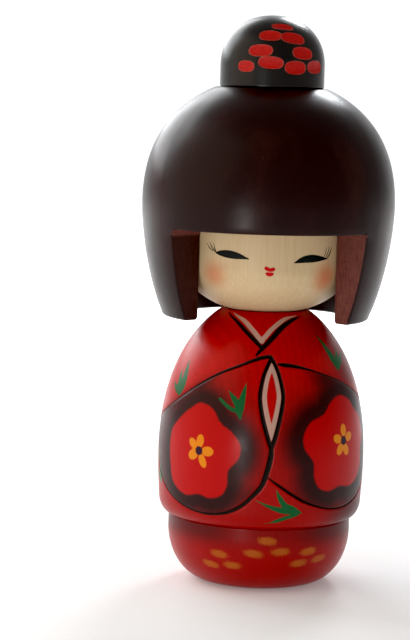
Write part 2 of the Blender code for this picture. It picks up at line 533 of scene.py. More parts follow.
def kimono_finish(colours):
    """Red stain over grain, painted shade darker towards the bottom, airbrushed spray with painted
    shade, painted marks and waxed gloss.
    """
    material, tree, shader = start_finish("kimono_paint")
    rings, fibres, clouds = grain(tree)
    deep = scaled(colours.red, 0.5)
    red = tint(tree, ranged(tree, fibres, 0.25, 0.85), scaled(colours.red, 0.72), colours.red)
    red = tint(tree, ranged(tree, rings, 0.0, 1.0, 0.0, 0.22), red, deep)
    red = tint(tree, ranged(tree, clouds, 0.3, 0.75, 0.0, 0.35), red, CLOUD_RED)
    # Painted shade: the red darkens towards the skirt, where less light falls
    red = tint(tree, ranged(tree, place_on(tree), *LOW_SHADE_HEIGHTS, 0.0, 0.72), red, deep)
    speckle = noise(tree, millimetres(tree), 3.4, 5.0, 0.7)
    spray_and_shade = ranged(tree, speckle, 0.2, 0.8, 0.90, 1.08)
    # Airbrushed spray round the blossoms, and painted shade, darken the red
    spray_and_shade = sums(tree, "MULTIPLY", stored(tree, "airbrush"), spray_and_shade, clamp=True)
    look = tint(tree, spray_and_shade, red, colours.airbrush)
    streaks = ranged(tree, fibres, 0.3, 0.8, 0.0, 0.22)
    flower = tint(tree, streaks, colours.flower, scaled(colours.flower, 0.62))
    look = tint(tree, painted(tree, "flower", 0.42, 0.5), look, flower)
    thin_spots = ranged(tree, speckle, 0.3, 0.8, 0.0, 0.30)
    for mark, softness, wobble in COATS:
        paint = getattr(colours, mark)
        uneven = tint(tree, thin_spots, paint, scaled(paint, 0.6))
        look = tint(tree, painted(tree, mark, softness, wobble), look, uneven)
    polish = ranged(tree, noise(tree, millimetres(tree), 0.30, 1.0), 0.2, 0.8, 0.29, 0.36)
    matt_ink = sums(tree, "MULTIPLY", painted(tree, "ink", 0.2, 0.0), 0.22)
    rough = sums(tree, "ADD", polish, matt_ink)
    wire(tree, shader, look, rough, bump(tree, furrows(tree), 0.10, 0.10), 0.18)
    return material


def face_finish(colours, cheeks):
    """Bare pale wood under wax, with sprayed cheeks and a few darker grain lines."""
    material, tree, shader = start_finish("face_wood")
    rings, fibres, clouds = grain(tree, 0.035, (58.0, 80.0, 0.0))
    dark = [channel * share for channel, share in zip(colours.face, (0.88, 0.84, 0.76))]
    wood = tint(tree, ranged(tree, fibres, 0.25, 0.75), dark, colours.face)
    wood = tint(tree, ranged(tree, rings, 0.1, 1.0, 0.0, 0.25), wood, dark)
    wood = tint(tree, ranged(tree, clouds, 0.3, 0.8, 0.0, 0.25), wood, (0.70, 0.555, 0.365))
    where = millimetres(tree)
    for centre, reach, strength in cheeks:
        away = node(tree, "VectorMath", {"operation": "DISTANCE"})
        join(tree, where, away.inputs[0])
        join(tree, centre, away.inputs[1])
        spray = ranged(tree, away.outputs["Value"], reach, 0.4, 0.0, strength)
        wood = tint(tree, spray, wood, colours.blush)
    rough = ranged(tree, fibres, 0.2, 0.8, 0.50, 0.38)
    wire(tree, shader, wood, rough, bump(tree, furrows(tree, 0.035), 0.14, 0.10), 0.25)
    return material


def hair_finish(colours, fringe):
    """Dark stain with a satin lacquer. The sawn faces are rougher and show their grain, and the left one
    is painted darker as shade.
    """
    material, tree, shader = start_finish("hair_stain")
    _rings, fibres, clouds = grain(tree, 0.045)
    warm = [channel * share for channel, share in zip(colours.hair, (1.9, 1.6, 1.4))]
    stain = tint(tree, ranged(tree, clouds, 0.42, 0.78), colours.hair, warm)
    streaks = ranged(tree, fibres, 0.35, 0.75, 0.0, 0.35)
    stain = tint(tree, streaks, stain, scaled(colours.hair, 0.6))
    dust = noise(tree, millimetres(tree), 1.35, 2.0, 0.4)
    stain = tint(tree, ranged(tree, dust, 0.795, 0.83, 0.0, 0.5), stain, (0.16, 0.11, 0.10))
    cut = stored(tree, "cut")
    open_grain = noise(tree, millimetres(tree, (1, 1, 0.09)), 3.6, 5.0, 0.7)
    saw_marks = noise(tree, millimetres(tree, (0.25, 0.25, 3.2)), 1.0, 3.0)
    pores = ranged(tree, open_grain, 0.30, 0.72)
    scratches = ranged(tree, saw_marks, 0.45, 0.75, 0.0, 0.30)
    bare = tint(tree, pores, scaled(colours.hair_cut, 0.45), colours.hair_cut)
    bare = tint(tree, scratches, bare, scaled(colours.hair_cut, 1.5))
    # Painted shade on the left cut, which faces away from the light, below the rough wood at its top
    left_cut_shade = ranged(tree, place_on(tree, "X"), -2.0, 2.0, 0.80, 0.0)
    below_top = ranged(tree, place_on(tree), fringe - 2.3, fringe - 1.3, 1.0, 0.0)
    left_cut_shade = sums(tree, "MULTIPLY", left_cut_shade, below_top)
    bare = tint(tree, left_cut_shade, bare, scaled(colours.hair, 0.9))
    polish = ranged(tree, noise(tree, millimetres(tree), 0.20, 1.0), 0.2, 0.8, 0.285, 0.34)
    rough = sums(tree, "ADD", polish, sums(tree, "MULTIPLY", cut, 0.26))
    sawn = sums(tree, "MULTIPLY", sums(tree, "ADD", open_grain, saw_marks), cut)
    relief = bump(tree, sawn, 0.45, 0.12, bump(tree, furrows(tree), 0.06, 0.10))
    wire(tree, shader, tint(tree, cut, stain, bare), rough, relief, 0.17)
    return material


def bun_finish(colours):
    """Black lacquer with red wood-cut petals whose rims are scraped bright."""
    material, tree, shader = start_finish("bun_lacquer")
    _rings, fibres, clouds = grain(tree, 0.05)
    lacquer = tint(tree, ranged(tree, clouds, 0.4, 0.75), colours.bun, (0.016, 0.010, 0.008))
    petal = painted(tree, "petal", 0.07, 0.10)
    streak = noise(tree, millimetres(tree, (0.5, 0.5, 2.2)), 2.4, 4.0, 0.6)
    thin = scaled(colours.petal, 0.62)
    red = tint(tree, ranged(tree, streak, 0.3, 0.75), thin, colours.petal)
    red = tint(tree, ranged(tree, fibres, 0.55, 0.85, 0.0, 0.35), red, (0.66, 0.060, 0.022))
    look = tint(tree, petal, lacquer, red)
    rim = sums(tree, "ABSOLUTE", sums(tree, "ADD", stored(tree, "petal"), 0.05))
    patchy = ranged(tree, noise(tree, millimetres(tree), 0.9, 3.0), 0.38, 0.62, 0.15, 0.75)
    scraped = sums(tree, "MULTIPLY", ranged(tree, rim, 0.16, 0.03), patchy)
    look = tint(tree, scraped, look, (0.34, 0.085, 0.06))
    polish = ranged(tree, fibres, 0.3, 0.7, 0.285, 0.33)
    rough = sums(tree, "ADD", polish, sums(tree, "MULTIPLY", petal, 0.24))
    gouged = sums(tree, "MULTIPLY", streak, petal)
    relief = bump(tree, gouged, 0.3, 0.08, bump(tree, furrows(tree), 0.05, 0.08))
    wire(tree, shader, look, rough, relief, 0.33)
    return material


def paint_finish(name, paint, roughness):
    """Brushed face paint: slightly uneven in tone and gloss."""
    material, tree, shader = start_finish(name)
    brush = noise(tree, millimetres(tree, (0.6, 0.6, 2.4)), 2.2, 5.0, 0.6)
    look = tint(tree, ranged(tree, brush, 0.35, 0.75), paint, scaled(paint, 0.62))
    rough = ranged(tree, brush, 0.3, 0.7, roughness, roughness + 0.12)
    wire(tree, shader, look, rough, bump(tree, brush, 0.15, 0.03), 0.15)
    return material


def bare_finish():
    """Unfinished dowel wood."""
    material, tree, shader = start_finish("bare_wood")
    rings, fibres, _clouds = grain(tree, 0.04, (12.0, 9.0, 0.0))
    wood = tint(tree, ranged(tree, fibres, 0.25, 0.8), (0.42, 0.27, 0.13), (0.62, 0.44, 0.25))
    wood = tint(tree, ranged(tree, rings, 0.1, 1.0, 0.0, 0.35), wood, (0.34, 0.20, 0.09))
    rough = ranged(tree, fibres, 0.2, 0.8, 0.72, 0.56)
    wire(tree, shader, wood, rough, bump(tree, fibres, 0.5, 0.08))
    return material


def coat(piece, material, body, slot_name, *replaced):
    """Gives a finished piece its material and its body, and hides the nodes it stands for. slot_name is
    not used.
    """
    piece.data.materials.clear()
    piece.data.materials.append(material)
    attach(piece, body)
    if replaced:
        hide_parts(*replaced)


# ---------------------------------------------------------------------------------------------
# Kimono body
# ---------------------------------------------------------------------------------------------

CHIN_R = BALL_HIGH[0]
CHIN_Z = 93.2
CHIN_DROP = 14.7
GAP = 0.3
END_GAP = 0.5  # room past the end of a peg in its hole
RIM_R = 12.4
SOCKET_R = PEG_HIGH[0] + GAP
WIDEST = (BODY_HIGH[0], 37.7)
LIP = (29.7, 25.0)
LIP_ROUND = (3.3, 5.4)
SKIRT_R = 26.7
FOOT_CURVE_Z = 15.8
FOOT_R = 15.2
# Handle lengths that shape the outline, as in the frame
SHOULDER_SLOPE = radians(32)
SHOULDER_PULL, FLANK_PULL, HIP_PULL, LIP_PULL = 2.3, 31.0, 8.0, (0.15, 4.0)


def chin_height(radius, clearance=0.0):
    """Height of the ball's underside at a radius, or of a dish that clears it."""
    reach = CHIN_R + clearance
    return CHIN_Z - (CHIN_DROP + clearance) * sqrt(1 - (radius / reach) ** 2)


def body_spans():
    """Peg socket, dish, shoulder, flank, lip, skirt and foot, from the axis to the axis."""
    socket_z = PEG_LOW[2] - END_GAP
    dish = [(r, chin_height(r, GAP)) for r in (SOCKET_R, SOCKET_R + 3.3, RIM_R - 0.5)]
    rim = (RIM_R, chin_height(RIM_R, GAP) - 0.12)
    pull, slope = SHOULDER_PULL, SHOULDER_SLOPE
    leave = (rim[0] + pull * cos(slope), rim[1] - pull * sin(slope))
    lip_under = (LIP[0] - LIP_ROUND[0], LIP[1] - LIP_ROUND[1])
    skirt_top = (SKIRT_R - 0.05, lip_under[1] - 0.25)
    lip_arrive = (LIP[0] + LIP_PULL[0], LIP[1] + LIP_PULL[1])
    return [
        run((0, socket_z), (SOCKET_R, socket_z), 1),
        run((SOCKET_R, socket_z), dish[0], 3),
        run(dish[0], dish[1], 3),
        run(dish[1], dish[2], 3),
        corner(dish[2], rim, 3, True),
        run(rim, WIDEST, 88, leave, (WIDEST[0], WIDEST[1] + FLANK_PULL)),
        run(WIDEST, LIP, 26, (WIDEST[0], WIDEST[1] - HIP_PULL), lip_arrive),
        corner(LIP, lip_under, 12, False),
        run(lip_under, skirt_top, 2),
        run(skirt_top, (SKIRT_R, FOOT_CURVE_Z), 8),
        corner((SKIRT_R, FOOT_CURVE_Z), (FOOT_R, 0), 30, False),
        run((FOOT_R, 0), (0, 0), 4),
    ]


# Carved lines, as knots of (degrees, height, half width)
COLLAR_LEFT = [
    (-51, 79.35, 0.20), (-31.4, 77.4, 0.50), (-19.7, 75.4, 0.64), (-11, 73.4, 0.70),
    (-3.6, 71.2, 0.62),
]
COLLAR_RIGHT = [
    (45.5, 78.9, 0.15), (34.1, 78.4, 0.48), (23.2, 77.4, 0.72), (14.0, 75.9, 0.82),
    (5.7, 73.5, 0.80), (0.0, 71.6, 0.74), (-3.7, 70.1, 0.62), (-6.4, 68.8, 0.28),
]
SLEEVE_LEFT_TOP = [
    (2.8, 68.6, 0.60), (-2.6, 68.2, 0.62), (-8.8, 67.3, 0.55), (-15, 66.2, 0.46),
    (-29.6, 63.4, 0.42), (-44, 59.5, 0.34), (-59.6, 54.6, 0.26), (-72, 51.2, 0.24),
    (-84, 48.6, 0.24),
]
SLEEVE_LEFT_FRONT = [
    (4.5, 43.8, 0.60), (4.2, 40.8, 0.80), (2.7, 37.1, 0.80), (0.0, 32.8, 0.70),
    (-4.9, 29.5, 0.62), (-11.8, 26.2, 0.52), (-20.3, 24.1, 0.44), (-30.8, 23.3, 0.36),
    (-41.8, 23.8, 0.32), (-54.4, 25.6, 0.28), (-67, 28.6, 0.26), (-79, 34.0, 0.24),
    (-88, 40.5, 0.22), (-90, 45.5, 0.22), (-84, 48.6, 0.22),
]
SLEEVE_RIGHT_TOP = [
    (9.3, 66.6, 0.35), (13.0, 66.4, 0.66), (19, 66.1, 0.60), (27.0, 65.4, 0.42),
    (36.0, 64.3, 0.24), (42.1, 63.4, 0.22), (55.6, 61.2, 0.24), (67.3, 58.7, 0.22),
    (81, 55.4, 0.22), (94, 51.5, 0.22),
]
SLEEVE_RIGHT_UNDER = [
    (2.9, 35.1, 0.20), (9.8, 32.5, 0.42), (18.2, 29.6, 0.46), (26.2, 27.4, 0.40),
    (39.2, 25.4, 0.26), (52.6, 25.2, 0.26), (67.9, 27.0, 0.25), (81.4, 30.8, 0.24),
    (94, 37.0, 0.22), (99, 45.0, 0.22), (94, 51.5, 0.22),
]
CARVED = (
    COLLAR_LEFT,
    COLLAR_RIGHT,
    SLEEVE_LEFT_TOP,
    SLEEVE_LEFT_FRONT,
    SLEEVE_RIGHT_TOP,
    SLEEVE_RIGHT_UNDER,
)
BAND_LEFT = [
    (-43, 79.4, 0.12), (-24.0, 77.75, 0.62), (-12.7, 75.55, 0.68), (-4.6, 73.15, 0.70),
    (-2.9, 72.5, 0.66),
]
BAND_RIGHT = [
    (40, 79.2, 0.10), (21.3, 78.35, 0.58), (7.0, 76.1, 0.66), (-0.9, 73.6, 0.70),
    (-2.9, 72.7, 0.66),
]
# Open cuff: outer edge of its black ring, (degrees, height), and the widths of its rings
CUFF = [
    (4.4, 69.2), (1.0, 66.7), (-2.0, 63.4), (-3.6, 59.4), (-3.7, 56.4), (-2.2, 52.2),
    (1.0, 46.4), (4.5, 41.3), (7.7, 46.2), (10.7, 52.4), (12.4, 57.0), (12.1, 60.0),
    (10.2, 64.1), (7.3, 67.3),
]
CUFF_BLACK, CUFF_PALE = 1.25, 1.3
CUFF_MIDDLE = (4.4, 56.5)
CUFF_TIP = 7  # the knot at its lower end
# Blossom outlines, millimetres about their centres
BLOSSOM_LEFT = [
    (-1.0, 13.5), (3.6, 12.1), (6.4, 8.6), (10.4, 6.0), (12.9, 2.6), (12.5, -1.2), (9.6, -4.8),
    (9.3, -9.0), (7.6, -12.0), (3.9, -13.2), (0.0, -12.5), (-5.2, -13.3), (-10.6, -10.4),
    (-12.3, -4.9), (-12.9, 0.6), (-12.2, 4.8), (-8.6, 8.6), (-4.8, 11.6),
]
BLOSSOM_RIGHT = [
    (0.4, 12.8), (-3.9, 11.4), (-7.6, 8.0), (-12.4, 5.9), (-14.8, 1.9), (-14.2, -1.8),
    (-11.6, -5.2), (-11.2, -9.6), (-9.4, -12.8), (-5.9, -14.0), (-1.6, -13.0), (4.0, -13.4),
    (8.6, -11.2), (10.9, -7.4), (11.0, -3.6), (13.0, 1.0), (11.8, 5.6), (7.6, 8.4), (5.2, 11.2),
]
# Petals of the small yellow blossoms: (direction in degrees, distance out, half length, half width)
STAMENS_LEFT = (
    (85, 2.85, 1.85, 1.30), (140, 2.95, 1.75, 1.20), (212, 2.45, 1.80, 1.45),
    (296, 3.10, 2.05, 1.15), (2, 2.95, 1.95, 1.40),
)
STAMENS_RIGHT = (
    (88, 3.00, 1.75, 1.25), (165, 2.75, 1.70, 1.30), (235, 2.90, 1.75, 1.25),
    (292, 2.85, 1.75, 1.25), (20, 2.70, 1.70, 1.30),
)
HEART_R = 1.25
BLOSSOMS = (
    ((-36.9, 41.2), BLOSSOM_LEFT, STAMENS_LEFT),
    ((50.9, 44.5), BLOSSOM_RIGHT, STAMENS_RIGHT),
)
# Leaves: three brush strokes from one foot, (degrees, height, half width)
LEAVES = (
    [
        [(-59.6, 56.4, 0.9), (-58.6, 59.0, 1.35), (-59.6, 62.4, 0.95), (-61.6, 66.0, 0.08)],
        [(-61.4, 56.6, 0.9), (-63.4, 59.4, 1.15), (-66.6, 63.0, 0.08)],
        [(-61.8, 56.6, 0.9), (-66.6, 57.6, 0.80), (-71.6, 58.8, 0.06)],
    ],
    [
        [(-13.4, 51.4, 0.35), (-13.9, 53.6, 1.10), (-13.0, 56.6, 0.95), (-11.2, 61.3, 0.10)],
        [(-14.2, 53.2, 0.60), (-17.0, 56.2, 0.85), (-21.8, 58.8, 0.10)],
        [(-14.4, 53.2, 0.60), (-19.6, 54.0, 0.55), (-26.2, 56.2, 0.40), (-27.6, 56.4, 0.06)],
    ],
    [
        [(23, 24.7, 0.12), (17.5, 25.4, 1.30), (13.2, 26.8, 0.95), (9.8, 29.3, 0.62), (7.8, 31.6, 0.06)],
        [(21, 24.8, 0.30), (13, 25.4, 0.85), (6.6, 26.2, 0.60), (1.0, 27.4, 0.26), (-3.8, 28.6, 0.05)],
        [(20.5, 24.2, 0.30), (14.6, 23.5, 0.55), (9, 22.5, 0.50), (5.0, 21.9, 0.16), (0.5, 21.5, 0.05)],
    ],
    [
        [(57.6, 64.3, 0.45), (56.4, 66.8, 1.35), (53.6, 70.0, 0.90), (49.0, 74.4, 0.08)],
        [(59.0, 64.8, 0.60), (62.0, 67.0, 1.15), (66.0, 69.0, 0.40), (69.5, 70.6, 0.06)],
        [(58.5, 64.6, 0.50), (64.6, 66.4, 0.95), (72.0, 67.8, 0.30), (76.5, 68.6, 0.06)],
    ],
    [
        [(-74.0, 29.6, 0.8), (-77.0, 33.2, 0.9), (-80.0, 38.0, 0.30), (-82.0, 41.0, 0.06)],
        [(-74.4, 29.2, 0.6), (-79.0, 30.6, 0.7), (-84.0, 33.4, 0.06)],
    ],
)
# Gold dabs on the skirt: (degrees, height, tilt in degrees)
DABS = (
    (4.6, 16.1, -4), (-3.9, 12.3, -6), (13.1, 12.9, 2), (-26.1, 11.4, -6), (-33.3, 7.9, -8),
    (-17.7, 8.3, -2), (32.2, 12.6, 6), (41.6, 10.0, 8), (26.2, 9.2, 4),
)
DAB_HALF_LENGTH, DAB_HALF_WIDTH = 2.5, 1.05
OVAL_POWER = 2.5  # above 2, for ovals with fuller ends
ARM = 30.0  # millimetres from its middle past which a drawn shape isn't looked for


def local_plan(points, section, angle, height):
    """Millimetres east, up-slope and outward of a place on the surface."""
    east, up, out = section.axes(angle, height)
    away = points - section.place(angle, height)
    return away @ east, away @ up, away @ out


def oval_distance(points, section, angle, height, half_length, half_width, tilt):
    """Nearly the distance to the edge of an oval mark, below zero inside it."""
    east, up, out = local_plan(points, section, angle, height)
    turn = radians(tilt)
    along = east * cos(turn) + up * sin(turn)
    across = up * cos(turn) - east * sin(turn)
    shares = np.abs(along) / half_length, np.abs(across) / half_width
    reach = (shares[0] ** OVAL_POWER + shares[1] ** OVAL_POWER) ** (1 / OVAL_POWER)
    away = (reach - 1) * half_width
    return np.where(np.abs(out) < 6, np.minimum(away, FAR), FAR)


def cuff_distance(points, section):
    """Distance to the outer edge of the open cuff, below zero inside it."""
    radius = section.radius(CUFF_MIDDLE[1])
    sides = spread(CUFF[: CUFF_TIP + 1])[:-1], spread(CUFF[CUFF_TIP:] + CUFF[:1])[:-1]
    edge = np.vstack(sides)
    outline = unroll(section.place(edge[:, 0], edge[:, 1]), *CUFF_MIDDLE, radius)
    flat = unroll(points, *CUFF_MIDDLE, radius)
    return np.where(np.abs(flat[:, 0]) < 20, outline_distance(flat, outline), FAR)


def blossom_marks(points, section):
    """Distances to the edges of the blossoms, their yellow petals and their hearts."""
    flowers, stamens, hearts = [], [], []
    for (angle, height), outline, petals in BLOSSOMS:
        plan = unroll(points, angle, height, section.radius(height))
        near = np.abs(plan[:, 0]) < ARM
        away = np.full(len(points), ARM)
        away[near] = outline_distance(plan[near], ring(outline))
        flowers.append(away)
        for lie, reach, half_length, half_width in petals:
            turn = radians(lie)
            along = plan[:, 0] * cos(turn) + plan[:, 1] * sin(turn) - reach
            across = plan[:, 1] * cos(turn) - plan[:, 0] * sin(turn)
            stamens.append((np.hypot(along / half_length, across / half_width) - 1) * half_width)
        hearts.append(np.hypot(plan[:, 0], plan[:, 1]) - HEART_R)
    return {
        "flower": np.minimum.reduce(flowers),
        "yellow": np.minimum(np.minimum.reduce(stamens), FAR),
        "heart": np.minimum(np.minimum.reduce(hearts), FAR),
    }


def body_marks(points, section):
    """Distance in millimetres from every point to the edge of each kind of mark."""
    cuff = cuff_distance(points, section)
    lines = np.where(cuff < -0.1, FAR, nearest_stroke(points, section, CARVED))
    black_ring = np.maximum(cuff, -cuff - CUFF_BLACK)
    pale_ring = np.maximum(cuff + CUFF_BLACK, -cuff - CUFF_BLACK - CUFF_PALE)
    size_of_dab = (DAB_HALF_LENGTH, DAB_HALF_WIDTH)
    dabs = [oval_distance(points, section, a, h, *size_of_dab, tilt) for a, h, tilt in DABS]
    return {
        "ink": np.minimum(lines, black_ring),
        "pale": np.minimum(nearest_stroke(points, section, (BAND_LEFT, BAND_RIGHT)), pale_ring),
        "green": nearest_stroke(points, section, [knots for leaf in LEAVES for knots in leaf]),
        "gold": np.minimum.reduce(dabs),
        **blossom_marks(points, section),
    }


# Airbrushed shade, with painted shade on the right shoulder and under the step: where each spray begins
# and where it is full, then its strength if it has one
SLEEVE_R = 29.5  # radius at which the sleeves are laid flat
SLEEVES = (
    (SLEEVE_LEFT_TOP, SLEEVE_LEFT_FRONT[::-1], CUFF[3 : CUFF_TIP + 1][::-1]),
    (SLEEVE_RIGHT_TOP, SLEEVE_RIGHT_UNDER[::-1], CUFF[CUFF_TIP:]),
)
SLEEVE_EDGE = (0.4, -0.3)  # millimetres outside the sleeve's line
SLEEVE_SPAN = 75  # degrees either side of its blossom that a sleeve's spray may cover
BLOSSOM_REACH = (8.2, 9.5)  # millimetres past each blossom where its dark ring begins
RING_SPRAY = (2.2, 0.62)  # millimetres past the blossom where the ring is full, its strength
CLOUD_SPRAY = (17, 4, 0.38)  # millimetres past the blossom
OUTER_SPRAY = (4, 26, 0.92)  # degrees past the blossom, away from the front
LOW_SPRAY = (37, 29, 0.80)  # heights, down to the sleeve's bottom
LOW_EDGE = (0.3, -1.5)  # millimetres outside the sleeve's line
LOW_SPAN = (48, 30)  # degrees either side of the blossom
CROWN_SPRAY = (46, 54, 0.93)  # heights, up to the sleeve's top
CROWN_SPAN = (20, 42)  # degrees either side of the front
SPILL = (2.8, 0.0, 0.42)  # millimetres outside the sleeve's line, above SPILL_Z
SPILL_REACH = (12, 5)  # millimetres past the blossom
SPILL_Z = 50
BACK_FADE = (150, 105)  # degrees over which the right side's shade leaves off
SHOULDER_LOCK_SHADE = (44, 66, 0.55)  # degrees, on the right shoulder: painted shade for the dark hair lock's reflection
SHOULDER_BOTTOM, SHOULDER_TOP = (56, 62), (78, 66)  # heights
HEM_SPRAY = (29, 25, 0.72)  # heights, under the right sleeve
HEM_SIDE = (26, 60)  # degrees
STEP_Z = 19.8  # height of the step between kimono and skirt
STEP_TOP, STEP_BOTTOM = (20.2, 18.9), (11.5, 18.0)  # heights of the painted shade under the step
STEP_MIDDLE, STEP_LEAST = 4, 0.30  # degrees where that painted shade is weakest, and its strength there
STEP_SIDES = (12, 40, 0.42)  # degrees either side of STEP_MIDDLE, and what they add


def sprayed(value, spray):
    """How strong a spray is at a value."""
    start, full, strength = spray
    return soft_step(value, start, full) * strength


def sleeve_spray(points, marks, lines, middle, reach):
    """Shade inside one sleeve, round its blossom, and a little that spills over its top line."""
    angle, height = around(points), points[:, 2]
    path = np.vstack([spread(line)[:, :2] for line in lines])
    outline = np.stack([np.radians(path[:, 0]) * SLEEVE_R, path[:, 1]], axis=1)
    flat = np.stack([np.radians(angle) * SLEEVE_R, height], axis=1)
    edge = outline_distance(flat, outline)
    beside = np.abs(angle - middle) < SLEEVE_SPAN
    flower = marks["flower"]
    halo = sprayed(flower, (reach, *RING_SPRAY)) + sprayed(flower, CLOUD_SPRAY)
    outer = sprayed(np.sign(middle) * (angle - middle), OUTER_SPRAY)
    low = sprayed(height, LOW_SPRAY) * soft_step(edge, *LOW_EDGE)
    low *= soft_step(np.abs(angle - middle), *LOW_SPAN)
    crown = sprayed(height, CROWN_SPRAY) * soft_step(np.abs(angle), *CROWN_SPAN)
    filled = soft_step(edge, *SLEEVE_EDGE) * np.maximum.reduce([halo, low, outer, crown])
    spill = sprayed(edge, SPILL) * soft_step(flower, *SPILL_REACH)
    return beside * np.maximum(filled, np.where(height > SPILL_Z, spill, 0))


def spray_and_painted_shade(points, marks):
    """How dark the airbrushed spray and the painted shade are at every point, 0 to 1."""
    angle, height = around(points), points[:, 2]
    shade = np.zeros(len(points))
    for lines, ((middle, _height), *_rest), reach in zip(SLEEVES, BLOSSOMS, BLOSSOM_REACH):
        shade = np.maximum(shade, sleeve_spray(points, marks, lines, middle, reach))
    right_side = soft_step(angle, *BACK_FADE)
    # Painted reflection: the dark hair lock mirrored on the glossy right shoulder, painted as shade
    shoulder = right_side * sprayed(angle, SHOULDER_LOCK_SHADE)
    shoulder *= soft_step(height, *SHOULDER_BOTTOM) * soft_step(height, *SHOULDER_TOP)
    hem = right_side * soft_step(angle, *HEM_SIDE) * sprayed(height, HEM_SPRAY)
    # Painted shade under the step's lip, weakest at the front and darker at the sides
    painted_step_shade = soft_step(height, *STEP_TOP) * soft_step(height, *STEP_BOTTOM)
    painted_step_shade *= STEP_LEAST + sprayed(np.abs(angle - STEP_MIDDLE), STEP_SIDES)
    shade = np.maximum.reduce([shade, shoulder, painted_step_shade])
    return np.where(height > STEP_Z, np.maximum(shade, hem), shade)


def refine(piece, chosen):
    """Subdivides the faces all of whose points are chosen."""
    select_where(piece, chosen)
    with editing(piece):
        bpy.ops.mesh.select_mode(type="VERT")
        bpy.ops.mesh.select_mode(type="FACE")
        bpy.ops.mesh.subdivide(number_cuts=1)
        bpy.ops.mesh.select_all(action="DESELECT")
        bpy.ops.mesh.select_mode(type="VERT")


def seat_on(section, points, low, high):
    """Puts the points of the outer wall between two heights back on the true curve."""
    radius, height = np.hypot(points[:, 0], points[:, 1]), points[:, 2]
    outer = (height > low) & (height < high) & (radius > RIM_R)
    share = np.where(outer, section.radius(height) / np.maximum(radius, WELD), 1.0)
    points[:, :2] *= share[:, None]
    return points


def outward(points, section):
    """Outward direction of the turned surface at each point."""
    radius, height, step = np.hypot(points[:, 0], points[:, 1]), points[:, 2], 0.25
    slope = (section.radius(height + step) - section.radius(height - step)) / (2 * step)
    flat = points[:, :2] / np.maximum(radius, WELD)[:, None]
    way = np.stack([flat[:, 0], flat[:, 1], -slope], axis=1)
    return way / np.linalg.norm(way, axis=1)[:, None]


FRONT_ARC = 216  # degrees that are turned in fine steps, for the carving
BODY_ARCS = ((FRONT_ARC, 196), (FULL_TURN - FRONT_ARC, 44))
FINE_REACH = 0.75  # millimetres from a carved or painted edge within which faces are split
SEAT_TOP_Z = 79.9  # just under the rim
# Millimetres outside a mark's edge where its cut begins, and where it is full
GROOVE_EDGE, BAND_EDGE = (0.18, -0.42), (0.08, -0.12)
BAND_DEPTH = 0.10  # the pale bands are scraped this deep
DEEPEST = 5  # millimetres past which a stored distance is cut off


class KOKESHI_OT_kimono_body(bpy.types.Operator):
    """Turn, carve and paint the kimono body"""

    bl_idname = "kokeshi.kimono_body"
    bl_label = "Kimono Body"

    def execute(self, context):
        sizes, colours = context.scene.kokeshi_sizes, context.scene.kokeshi_colours
        spans = body_spans()
        wall = Section(spans[5:8] + spans[9:11])
        piece = turned("kimono_body_carved", spans, BODY_ARCS, -FRONT_ARC / 2)
        points = points_of(piece)
        marks = body_marks(points, wall)
        fine = [marks[name] for name in ("ink", "green", "pale", "yellow")]
        near = np.minimum.reduce(fine) < FINE_REACH
        refine(piece, near & (points[:, 2] > LIP[1] - 6))
        points = seat_on(wall, points_of(piece), LIP[1], SEAT_TOP_Z)
        marks = body_marks(points, wall)
        depth = sizes.groove_depth / MM * soft_step(marks["ink"], *GROOVE_EDGE)
        depth += BAND_DEPTH * soft_step(marks["pale"], *BAND_EDGE)
        shade = spray_and_painted_shade(points, marks)
        set_points(piece, points - outward(points, wall) * depth[:, None])
        for name, values in marks.items():
            store(piece, name, np.clip(values, -DEEPEST, DEEPEST))
        store(piece, "airbrush", shade)
        smooth_by_angle(piece, 50)
        coat(piece, kimono_finish(colours), "body", "kimono_red", "kimono_body")
        return {"FINISHED"}


# ---------------------------------------------------------------------------------------------
# Face ball and its paint
# ---------------------------------------------------------------------------------------------

CHEEK_TOP_Z = 110.0
CROWN_FLAT_R = 13.0
CHIN_END = radians(12)  # the chin's curve stops this far from straight down
# Sprayed cheeks: (degrees, height, reach, strength)
CHEEKS = ((-38.5, 91.2, 6.2, 0.66), (42.5, 91.0, 6.6, 0.80))


def ball_spans():
    """Crown hole, dome, cheek, chin and neck hole, from the axis to the axis."""
    hole_r = DOWEL_HIGH[0] + GAP
    hole_z = DOWEL_LOW[2] - END_GAP
    crown = BALL_HIGH[2]
    neck = (SOCKET_R, chin_height(SOCKET_R))
    neck_top = PEG_HIGH[2] + END_GAP
    across, down = sin(CHIN_END), cos(CHIN_END)
    low = (CHIN_R * across, CHIN_Z - CHIN_DROP * down)
    handle = 4 / 3 * tan((pi / 2 - CHIN_END) / 4)
    leave = (CHIN_R, CHIN_Z - CHIN_DROP * handle)
    arrive = (low[0] + CHIN_R * down * handle, low[1] + CHIN_DROP * across * handle)
    return [
        run((0, hole_z), (hole_r, hole_z), 1),
        run((hole_r, hole_z), (hole_r, crown), 3),
        run((hole_r, crown), (CROWN_FLAT_R, crown), 3),
        corner((CROWN_FLAT_R, crown), (CHIN_R, CHEEK_TOP_Z), 14, True),
        run((CHIN_R, CHEEK_TOP_Z), (CHIN_R, CHIN_Z), 16),
        run((CHIN_R, CHIN_Z), low, 44, leave, arrive),
        run(low, neck, 2),
        run(neck, (SOCKET_R, neck_top), 3),
        run((SOCKET_R, neck_top), (0, neck_top), 1),
    ]


class KOKESHI_OT_face_ball(bpy.types.Operator):
    """Turn the pale face ball"""

    bl_idname = "kokeshi.face_ball"
    bl_label = "Face Ball"

    def execute(self, context):
        colours = context.scene.kokeshi_colours
        spans = ball_spans()
        skin = Section(spans[4:6])
        piece = turned("face_ball_turned", spans, ((FULL_TURN, 144),))
        cheeks = [(tuple(skin.place(a, h)), reach, strength) for a, h, reach, strength in CHEEKS]
        smooth_by_angle(piece, 40)
        coat(piece, face_finish(colours, cheeks), "head", "face_wood", "face_ball")
        return {"FINISHED"}


